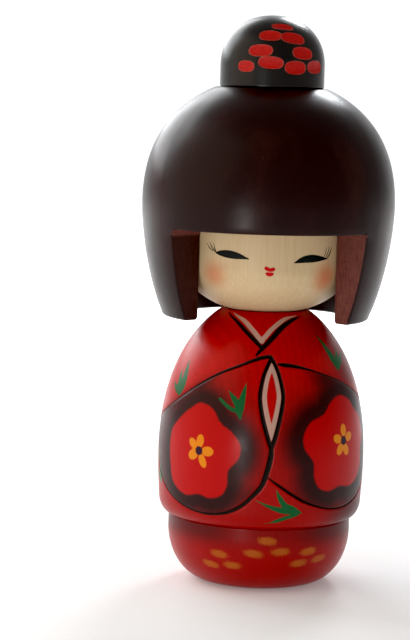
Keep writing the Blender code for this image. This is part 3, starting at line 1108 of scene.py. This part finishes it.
# Brush strokes on the face: knots of (degrees, height, half width)
EYE_LEFT = [
    (-37.4, 97.35, 0.12), (-36.0, 97.42, 0.36), (-33.5, 97.42, 0.72), (-30.0, 97.35, 1.00),
    (-26.0, 97.22, 1.12), (-22.0, 97.0, 1.00), (-18.5, 96.75, 0.72), (-15.5, 96.45, 0.38),
    (-13.6, 96.28, 0.20), (-12.6, 96.24, 0.10),
]
EYE_RIGHT = [
    (16.8, 95.45, 0.10), (18.4, 95.6, 0.28), (21.0, 96.0, 0.66), (24.5, 96.4, 0.96),
    (29.0, 96.6, 1.12), (33.5, 96.62, 0.98), (37.5, 96.58, 0.66), (40.5, 96.5, 0.36),
    (43.0, 96.44, 0.16),
]
LASHES = (
    [(-36.4, 97.2, 0.14), (-37.8, 98.4, 0.16), (-39.2, 100.2, 0.05)],
    [(-37.4, 97.6, 0.12), (-40.2, 98.8, 0.15), (-42.6, 100.4, 0.05)],
    [(-38.8, 97.7, 0.08), (-42.4, 98.6, 0.13), (-44.8, 99.9, 0.05)],
    [(42.4, 96.5, 0.16), (45.2, 97.9, 0.19), (46.9, 100.0, 0.05)],
    [(41.2, 96.7, 0.12), (43.4, 98.2, 0.14), (44.6, 100.0, 0.05)],
    [(39.6, 96.8, 0.08), (41.2, 98.2, 0.12), (42.0, 99.8, 0.05)],
)
UPPER_LIP = [
    (-2.4, 94.05, 0.30), (-1.2, 93.75, 0.56), (1.1, 93.3, 0.50), (3.3, 93.55, 0.56),
    (4.5, 93.85, 0.30),
]
LOWER_LIP = [
    (-1.6, 92.5, 0.24), (-0.4, 92.2, 0.52), (1.1, 92.05, 0.60), (2.5, 92.2, 0.52),
    (3.6, 92.5, 0.24),
]


STROKE_GRID = (48, 8)  # faces along a stroke and across it
STROKE_END_POWER = 12  # the higher, the later a stroke rounds off
STROKE_END_LEAST = 0.02  # square of the share of its width that is left at the very end
FILM_EDGE = 0.35  # share of the film's height that is left at a stroke's edges
FILM_WALL = 1.6  # thickness of a stroke's skin, in films


def brushed(name, section, knots, film):
    """A brush stroke on a turned surface: a grid drawn out along it, domed like wet paint."""
    bpy.ops.object.select_all(action="DESELECT")
    columns, rows = STROKE_GRID
    bpy.ops.mesh.primitive_grid_add(x_subdivisions=columns, y_subdivisions=rows, size=2)
    piece = bpy.context.object
    piece.name = name
    piece.data.name = name
    sheet = points_of(piece) * MM
    along, across = (sheet[:, 0] + 1) / 2, sheet[:, 1]
    line = spread(knots)
    share = np.linspace(0, 1, len(line))
    angle, height, half = (np.interp(along, share, line[:, k]) for k in range(3))
    turn = np.radians(line[:, 0])
    flow = np.stack([np.gradient(turn) * CHIN_R, np.gradient(line[:, 1])], axis=1)
    flow /= np.linalg.norm(flow, axis=1)[:, None]
    east, up = (np.interp(along, share, flow[:, k]) for k in range(2))
    squared = np.clip(1 - (2 * along - 1) ** STROKE_END_POWER, STROKE_END_LEAST, 1)
    away = across * half * np.sqrt(squared)
    angle = angle - np.degrees(up * away / CHIN_R)
    height = height + east * away
    lift = film / MM * (FILM_EDGE + (1 - FILM_EDGE) * (1 - across**2))
    set_points(piece, round_place(angle, section.radius(height) + lift, height))
    return piece


def made_solid(piece, thickness):
    """Gives a sheet its thickness, inwards, and closes it."""
    only(piece)
    bpy.ops.object.modifier_add(type="SOLIDIFY")
    depth = piece.modifiers[-1]
    depth.thickness = thickness
    depth.offset = -1
    bpy.ops.object.modifier_apply(modifier=depth.name)
    close_up(piece)


class KOKESHI_OT_face_paint(bpy.types.Operator):
    """Brush the eyes, lashes and lips onto the face"""

    bl_idname = "kokeshi.face_paint"
    bl_label = "Face Paint"

    def execute(self, context):
        sizes, colours = context.scene.kokeshi_sizes, context.scene.kokeshi_colours
        skin = Section(ball_spans()[4:6])
        eye_ink = paint_finish("eye_ink", colours.lash, 0.34)
        lip_red = paint_finish("lip_red", colours.lips, 0.36)
        strokes = [("eye_left", EYE_LEFT, eye_ink), ("eye_right", EYE_RIGHT, eye_ink)]
        strokes += [(f"eyelash_{1 + k}", knots, eye_ink) for k, knots in enumerate(LASHES)]
        strokes += [("lip_upper", UPPER_LIP, lip_red), ("lip_lower", LOWER_LIP, lip_red)]
        for name, knots, finish in strokes:
            piece = brushed(name, skin, knots, sizes.film)
            made_solid(piece, sizes.film * FILM_WALL)
            smooth_by_angle(piece, 60)
            coat(piece, finish, "head", "face_wood")
        return {"FINISHED"}


# ---------------------------------------------------------------------------------------------
# Hair cap
# ---------------------------------------------------------------------------------------------

BORE_R = CHIN_R + GAP
HAIR_WIDEST = (HAIR_HIGH[0], 110.6)
HAIR_RIM_Z = HAIR_LOW[2]
HAIR_RIM_R = 30.4
HAIR_SEAT = (16.3, HAIR_HIGH[2])
HAIR_RIM_ROUND, BORE_CHAMFER = 1.2, 0.4
# Handle lengths that shape the outline, as in the frame
CROWN_SLOPE = radians(24)
CROWN_PULL, TEMPLE_PULL, CHEEK_PULL, BOB_PULL = 12.0, 19.1, 11.2, (3.2, 7.0)
ON_LINE = 0.02  # millimetres within which a point counts as lying on a line or a cut
NOTCH_COLUMN = 50.0  # degrees: the column of points that becomes the window's edge
NOTCH_ROOM = 7.0  # degrees kept clear of points beside it, for the corner fillets
HAIR_ARCS = (
    (NOTCH_ROOM, 1),
    (2 * NOTCH_COLUMN, 20),
    (NOTCH_ROOM, 1),
    (FULL_TURN - 2 * (NOTCH_COLUMN + NOTCH_ROOM), 98),
)


def hair_spans(fringe):
    """Seat, crown, flank, rounded rim, bore and crown hole, as one closed loop."""
    hole_r = DOWEL_HIGH[0] + GAP
    seat = (HAIR_SEAT[0] - 0.4, HAIR_SEAT[1])
    seat_edge = (HAIR_SEAT[0] + 0.2, HAIR_SEAT[1] - 0.12)
    leave = (
        HAIR_SEAT[0] + CROWN_PULL * cos(CROWN_SLOPE),
        HAIR_SEAT[1] - CROWN_PULL * sin(CROWN_SLOPE),
    )
    temple = (HAIR_WIDEST[0], HAIR_WIDEST[1] + TEMPLE_PULL)
    cheek = (HAIR_WIDEST[0], HAIR_WIDEST[1] - CHEEK_PULL)
    flank_end = (HAIR_RIM_R, HAIR_RIM_Z + HAIR_RIM_ROUND)
    bob = (flank_end[0] + BOB_PULL[0], flank_end[1] + BOB_PULL[1])
    upper, lower = split_at_height((HAIR_WIDEST, cheek, bob, flank_end), fringe)
    under = (HAIR_RIM_R - HAIR_RIM_ROUND, HAIR_RIM_Z)
    lip, bore_edge = (BORE_R + BORE_CHAMFER, HAIR_RIM_Z), (BORE_R, HAIR_RIM_Z + BORE_CHAMFER)
    bore_top = BALL_HIGH[2] + GAP
    return [
        run((hole_r, HAIR_SEAT[1]), seat, 3),
        run(seat, seat_edge, 2),
        run(seat_edge, HAIR_WIDEST, 40, leave, temple),
        run(upper[0], upper[3], 3, upper[1], upper[2]),
        run(lower[0], lower[3], 11, lower[1], lower[2]),
        corner(flank_end, under, 4, False),
        run(under, lip, 2),
        run(lip, bore_edge, 1),
        run(bore_edge, (BORE_R, fringe), 10),
        run((BORE_R, fringe), (BORE_R, CHEEK_TOP_Z), 2),
        corner((BORE_R, CHEEK_TOP_Z), (CROWN_FLAT_R, bore_top), 8, False),
        run((CROWN_FLAT_R, bore_top), (hole_r, bore_top), 3),
        run((hole_r, bore_top), (hole_r, HAIR_SEAT[1]), 4),
    ]


def split_at_height(knots, height):
    """The two halves of a cubic span, cut where it passes a height."""

    def halves(t):
        levels = [[np.array(k, float) for k in knots]]
        while len(levels[-1]) > 1:
            row = levels[-1]
            levels.append([a * (1 - t) + b * t for a, b in zip(row, row[1:])])
        return [tuple(row[0]) for row in levels], [tuple(row[-1]) for row in reversed(levels)]

    low, high = 0.0, 1.0
    for _halving in range(40):
        middle = (low + high) / 2
        if halves(middle)[0][-1][1] > height:
            low = middle
        else:
            high = middle
    first, second = halves((low + high) / 2)
    return first, second


def notch_angle(radius, apex):
    """Degrees from the front at which the window's cut crosses a radius."""
    return 45 + np.degrees(np.arcsin(apex / sqrt(2) / radius))


def beside_cut(points, side, apex):
    """Whether each point lies on the cut of one side."""
    radius = np.hypot(points[:, 0], points[:, 1]).clip(20)  # well inside the bore
    return np.abs(around(points) - side * notch_angle(radius, apex)) < 0.05


def move_columns(piece, fringe, apex):
    """Moves one column of points onto each cut, up to the fringe."""
    points = points_of(piece)
    angle, radius = around(points), np.hypot(points[:, 0], points[:, 1])
    low = points[:, 2] < fringe + ON_LINE
    for side in (-1, 1):
        column = low & (np.abs(angle - side * NOTCH_COLUMN) < 0.5)
        wanted = side * notch_angle(radius[column], apex)
        points[column] = round_place(wanted, radius[column], points[column, 2])
    set_points(piece, points)


def open_window(piece, fringe, apex):
    """Removes the wall that stands in front of the face, and fills the cuts that it leaves."""
    move_columns(piece, fringe, apex)
    centres = numbers(piece.data.polygons, "center", 3) / MM
    in_front = (np.abs(around(centres)) < NOTCH_COLUMN - 0.9) & (centres[:, 2] < fringe)
    select_where(piece, in_front, "polygons")
    with editing(piece):
        bpy.ops.mesh.select_mode(type="FACE")
        bpy.ops.mesh.delete(type="ONLY_FACE")
        bpy.ops.mesh.select_mode(type="VERT")
        bpy.ops.mesh.select_all(action="SELECT")
        bpy.ops.mesh.delete_loose(use_faces=False)
    points = points_of(piece)
    at_fringe = np.abs(points[:, 2] - fringe) < ON_LINE
    for side in (-1, 1):
        join_points(piece, at_fringe & beside_cut(points, side, apex))
    fill_flat(piece, at_fringe & (np.abs(around(points)) < NOTCH_COLUMN + 3))
    for side in (-1, 1):
        fill_flat(piece, beside_cut(points, side, apex) & (points[:, 2] < fringe + ON_LINE))


def join_points(piece, chosen):
    """Draws an edge between two points."""
    select_where(piece, chosen)
    with editing(piece):
        bpy.ops.mesh.select_mode(type="VERT")
        bpy.ops.mesh.edge_face_add()


def fill_flat(piece, chosen):
    """Fills the open loop that runs through the chosen points with one flat face."""
    data = piece.data
    uses = np.bincount(numbers(data.loops, "edge_index", 1, int), minlength=len(data.edges))
    ends = numbers(data.edges, "vertices", 2, int)
    select_where(piece, (uses < 2) & chosen[ends].all(1), "edges")
    with editing(piece):
        bpy.ops.mesh.select_mode(type="EDGE")
        bpy.ops.mesh.edge_face_add()


def bevel_edges(piece, chosen, width, segments):
    """Rounds the chosen edges."""
    select_where(piece, chosen, "edges")
    with editing(piece):
        bpy.ops.mesh.select_mode(type="EDGE")
        bpy.ops.mesh.bevel(offset=width, segments=segments, profile=0.5, clamp_overlap=True)


def edge_table(piece):
    """Both end points of every edge, in millimetres."""
    return points_of(piece)[numbers(piece.data.edges, "vertices", 2, int)]


def cut_distance(points, apex):
    """Distance from the window's two cuts, the nearer one, above zero outside the window."""
    return (points[..., 1] - apex + np.abs(points[..., 0])) / sqrt(2)


def fillet_corners(piece, fringe, apex, width):
    """Leaves wood where the cuts meet the underside of the fringe, less of it on the right."""
    for side, share in ((-1, 1.0), (1, 0.5)):
        ends = edge_table(piece)
        on_cut = (np.abs(cut_distance(ends, apex)) < ON_LINE).all(1) & (ends[:, :, 1] < 0).all(1)
        level = (np.abs(ends[:, :, 2] - fringe) < ON_LINE).all(1)
        across = np.linalg.norm((ends[:, 0] - ends[:, 1])[:, :2], axis=1)
        corner_edge = on_cut & level & (across > 5) & (side * ends[:, 0, 0] > 0)
        bevel_edges(piece, corner_edge, width * share, 4)


def round_window(piece, fringe, apex, width):
    """Rounds the window's edges on the outside and at the rim, and the edge of the fringe."""
    ends = edge_table(piece)
    radius, height = np.hypot(ends[:, :, 0], ends[:, :, 1]), ends[:, :, 2]
    away, reach = cut_distance(ends, apex), 1.5 * ON_LINE
    on_cut = (np.abs(away) < reach).all(1) & (ends[:, :, 1] < 0).all(1)
    outside = (radius > HAIR_RIM_R - 2).all(1) & (height < fringe + ON_LINE).all(1)
    bottom = (height < HAIR_RIM_Z + 2).all(1)
    level = (np.abs(height - fringe) < ON_LINE).all(1) & (away < reach).all(1)
    fringe_edge = level & (radius > BORE_R + 2).all(1)
    bevel_edges(piece, (on_cut & (outside | bottom)) | fringe_edge, width, 3)


def sawn(piece, fringe, apex):
    """Whether each face is one that the saw left, on the cuts or under the fringe."""
    centres = numbers(piece.data.polygons, "center", 3) / MM
    normals = numbers(piece.data.polygons, "normal", 3)
    at_window = (cut_distance(centres, apex) < 1.5) & (centres[:, 2] < fringe + 0.3)
    return at_window & ((centres[:, :2] * normals[:, :2]).sum(1) < 4.0)


class KOKESHI_OT_hair_cap(bpy.types.Operator):
    """Turn the bored hair cap and saw the face window out of it"""

    bl_idname = "kokeshi.hair_cap"
    bl_label = "Hair Cap"

    def execute(self, context):
        sizes, colours = context.scene.kokeshi_sizes, context.scene.kokeshi_colours
        fringe, apex = sizes.fringe_height / MM, sizes.notch_apex / MM
        start = -NOTCH_COLUMN - NOTCH_ROOM
        piece = turned("hair_cap_bobbed", hair_spans(fringe), HAIR_ARCS, start)
        open_window(piece, fringe, apex)
        fillet_corners(piece, fringe, apex, sizes.notch_fillet)
        round_window(piece, fringe, apex, sizes.notch_round)
        close_up(piece)
        store(piece, "cut", sawn(piece, fringe, apex), "FACE")
        smooth_by_angle(piece, 35)
        coat(piece, hair_finish(colours, fringe), "head", "hair_brown", "hair_cap")
        return {"FINISHED"}


# ---------------------------------------------------------------------------------------------
# Bun
# ---------------------------------------------------------------------------------------------

BUN_STRAIGHT_Z = 150.5
BUN_EDGE = 0.5
BUN_TOP_PULL, BUN_SIDE_PULL = 8.2, 9.4  # handle lengths that shape the dome
GLUE_LINE = 0.02
PETAL_ARC, PETAL_MIDDLE = 150, 10  # degrees that are turned in fine steps, for the gouging
BUN_ARCS = ((PETAL_ARC, 168), (FULL_TURN - PETAL_ARC, 56))
SCOOP_EDGE = (0.05, -1.3)  # millimetres outside a petal's edge, as for the kimono's cuts
# Gouged petals: (degrees, height, half length, half width, tilt)
PETALS = (
    (13.0, 161.7, 3.1, 1.35, -8), (-5.4, 159.1, 3.2, 1.75, 0), (24.6, 158.5, 3.6, 1.85, -8),
    (-15.4, 154.8, 3.5, 1.75, 2), (34.6, 154.3, 3.4, 1.80, -4), (-31.5, 150.2, 2.6, 1.60, -2),
    (-3.2, 151.4, 3.6, 1.75, -3), (24.8, 150.1, 3.3, 1.90, 0), (52.5, 150.4, 3.3, 1.85, 0),
)


def bun_spans():
    """Domed top, straight side, flat base and dowel hole, from the axis to the axis."""
    radius, base, top = BUN_HIGH[0], HAIR_HIGH[2] + GLUE_LINE, BUN_HIGH[2]
    hole_r = DOWEL_HIGH[0] + GAP
    hole_top = DOWEL_HIGH[2] + END_GAP
    side, side_end = (radius, BUN_STRAIGHT_Z), (radius, base + BUN_EDGE)
    shoulder = (radius, BUN_STRAIGHT_Z + BUN_SIDE_PULL)
    return [
        run((0, top), side, 78, (BUN_TOP_PULL, top), shoulder),
        run(side, side_end, 22),
        corner(side_end, (radius - BUN_EDGE, base), 3, False),
        run((radius - BUN_EDGE, base), (hole_r, base), 3),
        run((hole_r, base), (hole_r, hole_top), 3),
        run((hole_r, hole_top), (0, hole_top), 1),
    ]


class KOKESHI_OT_hair_bun(bpy.types.Operator):
    """Turn the bun and gouge its petals"""

    bl_idname = "kokeshi.hair_bun"
    bl_label = "Hair Bun"

    def execute(self, context):
        sizes, colours = context.scene.kokeshi_sizes, context.scene.kokeshi_colours
        spans = bun_spans()
        wall = Section(spans[:2])
        start = PETAL_MIDDLE - PETAL_ARC / 2
        piece = turned("hair_bun_gouged", spans, BUN_ARCS, start)
        points = points_of(piece)
        petals = [
            oval_distance(points, wall, angle, height, half_length, half_width, tilt)
            for angle, height, half_length, half_width, tilt in PETALS
        ]
        radius = np.hypot(points[:, 0], points[:, 1])
        on_wall = (points[:, 2] > BUN_LOW[2] + 1) & (radius > DOWEL_HIGH[0] + 1)
        away = np.where(on_wall, np.minimum.reduce(petals), FAR)
        depth = sizes.scoop_depth / MM * np.sqrt(soft_step(away, *SCOOP_EDGE))
        set_points(piece, points - outward(points, wall) * depth[:, None])
        store(piece, "petal", np.clip(away, -DEEPEST, DEEPEST))
        smooth_by_angle(piece, 50)
        coat(piece, bun_finish(colours), "head", "bun_black", "hair_bun")
        return {"FINISHED"}


class KOKESHI_OT_pegs(bpy.types.Operator):
    """Give the neck peg and the crown dowel their bare wood"""

    bl_idname = "kokeshi.pegs"
    bl_label = "Pegs"

    def execute(self, context):
        finish = bare_finish()
        for name in ("neck_peg", "crown_dowel"):
            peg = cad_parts[name]
            for material_slot in peg.material_slots:
                material_slot.material = finish
        return {"FINISHED"}


# ---------------------------------------------------------------------------------------------
# Stage
# ---------------------------------------------------------------------------------------------

CAMERA_DISTANCE = 672.3
CAMERA_HEIGHT = 149.64
CAMERA_ROUND = -1.2  # degrees from the front, towards -X
CAMERA_YAW, CAMERA_PITCH, CAMERA_ROLL = 1.492, 6.256, 1.609
LENS = 129.8
BLACK_POINT = 0.009  # scene light below this shows as black
FLOOR_GLOW = (60.0, 700.0, 0.16, 0.74)  # two distances behind the doll, and the glow at each
MIDDLE = (0, 0, 0.09)
# Soft lights, in metres and watts: (name, place, aim, width and height, power, colour)
SOFT_LIGHTS = (
    ("window_left", (-1.02, -0.33, 0.55), MIDDLE, (1.5, 1.5), 5.8, (1.0, 0.82, 0.66)),
    ("window_back", (-0.84, 1.08, 0.76), MIDDLE, (1.5, 0.95), 20.0, (0.95, 0.98, 1.0)),
    ("lamp_back", (0.33, 1.18, 0.88), MIDDLE, (0.34, 0.24), 7.5, (0.92, 0.96, 1.0)),
    ("table_glow", (-0.16, -0.40, 0.035), (0, 0, 0.07), (0.05, 0.06), 0.30, (1.0, 0.98, 0.95)),
)


def look_matrix():
    """The camera's place: in front of the doll, a little above its middle, turned off its axis."""
    place = Matrix.Translation((0, -CAMERA_DISTANCE * MM, CAMERA_HEIGHT * MM))
    aim = (
        Matrix.Rotation(radians(CAMERA_YAW), 4, "Z")
        @ Matrix.Rotation(radians(90 - CAMERA_PITCH), 4, "X")
        @ Matrix.Rotation(radians(CAMERA_ROLL), 4, "Z")
    )
    return Matrix.Rotation(radians(CAMERA_ROUND), 4, "Z") @ place @ aim


def soft_light(name, place, aim, across, watts, tone):
    """A rectangular soft light that faces a point, all in metres."""
    bpy.ops.object.select_all(action="DESELECT")
    way = Vector(aim) - Vector(place)
    bpy.ops.object.light_add(
        type="AREA", location=place, rotation=way.to_track_quat("-Z", "Y").to_euler()
    )
    lamp = bpy.context.object
    lamp.name = name
    lamp.data.shape = "RECTANGLE"
    lamp.data.size, lamp.data.size_y = across
    lamp.data.energy = watts
    lamp.data.color = tone


def pale_surroundings():
    """A room that is bright behind the doll and dimmer on the viewer's side."""
    world = bpy.data.worlds.new("studio")
    bpy.context.scene.world = world
    world.use_nodes = True
    tree = world.node_tree
    way = node(tree, "TexCoord").outputs["Generated"]
    apart = node(tree, "SeparateXYZ", Vector=way)
    behind = ranged(tree, apart.outputs["Y"], 0.62, 0.90)
    look = tint(tree, behind, (0.36, 0.35, 0.34), (1.05, 1.07, 1.09))
    sky = tree.nodes["Background"]
    tree.links.new(look, sky.inputs["Color"])
    sky.inputs["Strength"].default_value = 1.0


def floor_finish():
    """Matt paper that glows a little, and more behind the doll."""
    material, tree, shader = start_finish("floor_paper")
    paper = noise(tree, millimetres(tree), 0.02, 3.0)
    look = tint(tree, ranged(tree, paper, 0.3, 0.7), (0.86, 0.86, 0.86), (0.90, 0.90, 0.90))
    tree.links.new(look, shader.inputs["Base Color"])
    shader.inputs["Roughness"].default_value = 0.9
    shader.inputs["Specular IOR Level"].default_value = 0.1
    shader.inputs["Emission Color"].default_value = (1, 1, 1, 1)
    glow = ranged(tree, place_on(tree, "Y"), *FLOOR_GLOW)
    tree.links.new(glow, shader.inputs["Emission Strength"])
    return material


class KOKESHI_OT_stage(bpy.types.Operator):
    """Lay the pale floor, light it and place the camera"""

    bl_idname = "kokeshi.stage"
    bl_label = "Stage"

    def execute(self, context):
        bpy.ops.object.select_all(action="DESELECT")
        bpy.ops.mesh.primitive_plane_add(size=6, location=(0, 0, -0.0002))
        floor = context.object
        floor.name = "pale_floor"
        floor.data.materials.append(floor_finish())
        pale_surroundings()
        for name, *rest in SOFT_LIGHTS:
            soft_light(name, *rest)
        bpy.ops.object.camera_add()
        camera = context.object
        camera.name = "front_view"
        camera.matrix_world = look_matrix()
        camera.data.lens = LENS
        camera.data.clip_end = 50
        context.scene.camera = camera
        grading = context.scene.view_settings
        grading.view_transform = "Standard"
        grading.use_curve_mapping = True
        grading.curve_mapping.black_level = [BLACK_POINT] * 3
        grading.curve_mapping.update()
        return {"FINISHED"}


class KOKESHI_PT_doll(bpy.types.Panel):
    """Steps that build the doll"""

    bl_label = "Kokeshi Doll"
    bl_idname = "KOKESHI_PT_doll"
    bl_space_type = "VIEW_3D"
    bl_region_type = "UI"
    bl_category = "Kokeshi"

    def draw(self, context):
        for step in STEPS:
            self.layout.operator(step.bl_idname)
        for group in (context.scene.kokeshi_sizes, context.scene.kokeshi_colours):
            column = self.layout.column(align=True)
            for name in group.__annotations__:
                column.prop(group, name)


STEPS = (
    KOKESHI_OT_kimono_body,
    KOKESHI_OT_face_ball,
    KOKESHI_OT_face_paint,
    KOKESHI_OT_hair_cap,
    KOKESHI_OT_hair_bun,
    KOKESHI_OT_pegs,
    KOKESHI_OT_stage,
)
CLASSES = (KokeshiSizes, KokeshiColours, *STEPS, KOKESHI_PT_doll)


def register():
    for kind in CLASSES:
        bpy.utils.register_class(kind)
    bpy.types.Scene.kokeshi_sizes = bpy.props.PointerProperty(type=KokeshiSizes)
    bpy.types.Scene.kokeshi_colours = bpy.props.PointerProperty(type=KokeshiColours)


def unregister():
    del bpy.types.Scene.kokeshi_colours
    del bpy.types.Scene.kokeshi_sizes
    for kind in reversed(CLASSES):
        bpy.utils.unregister_class(kind)


def main():
    register()
    bpy.ops.kokeshi.kimono_body()
    bpy.ops.kokeshi.face_ball()
    bpy.ops.kokeshi.face_paint()
    bpy.ops.kokeshi.hair_cap()
    bpy.ops.kokeshi.hair_bun()
    bpy.ops.kokeshi.pegs()
    bpy.ops.kokeshi.stage()


if __name__ == "__main__":
    main()
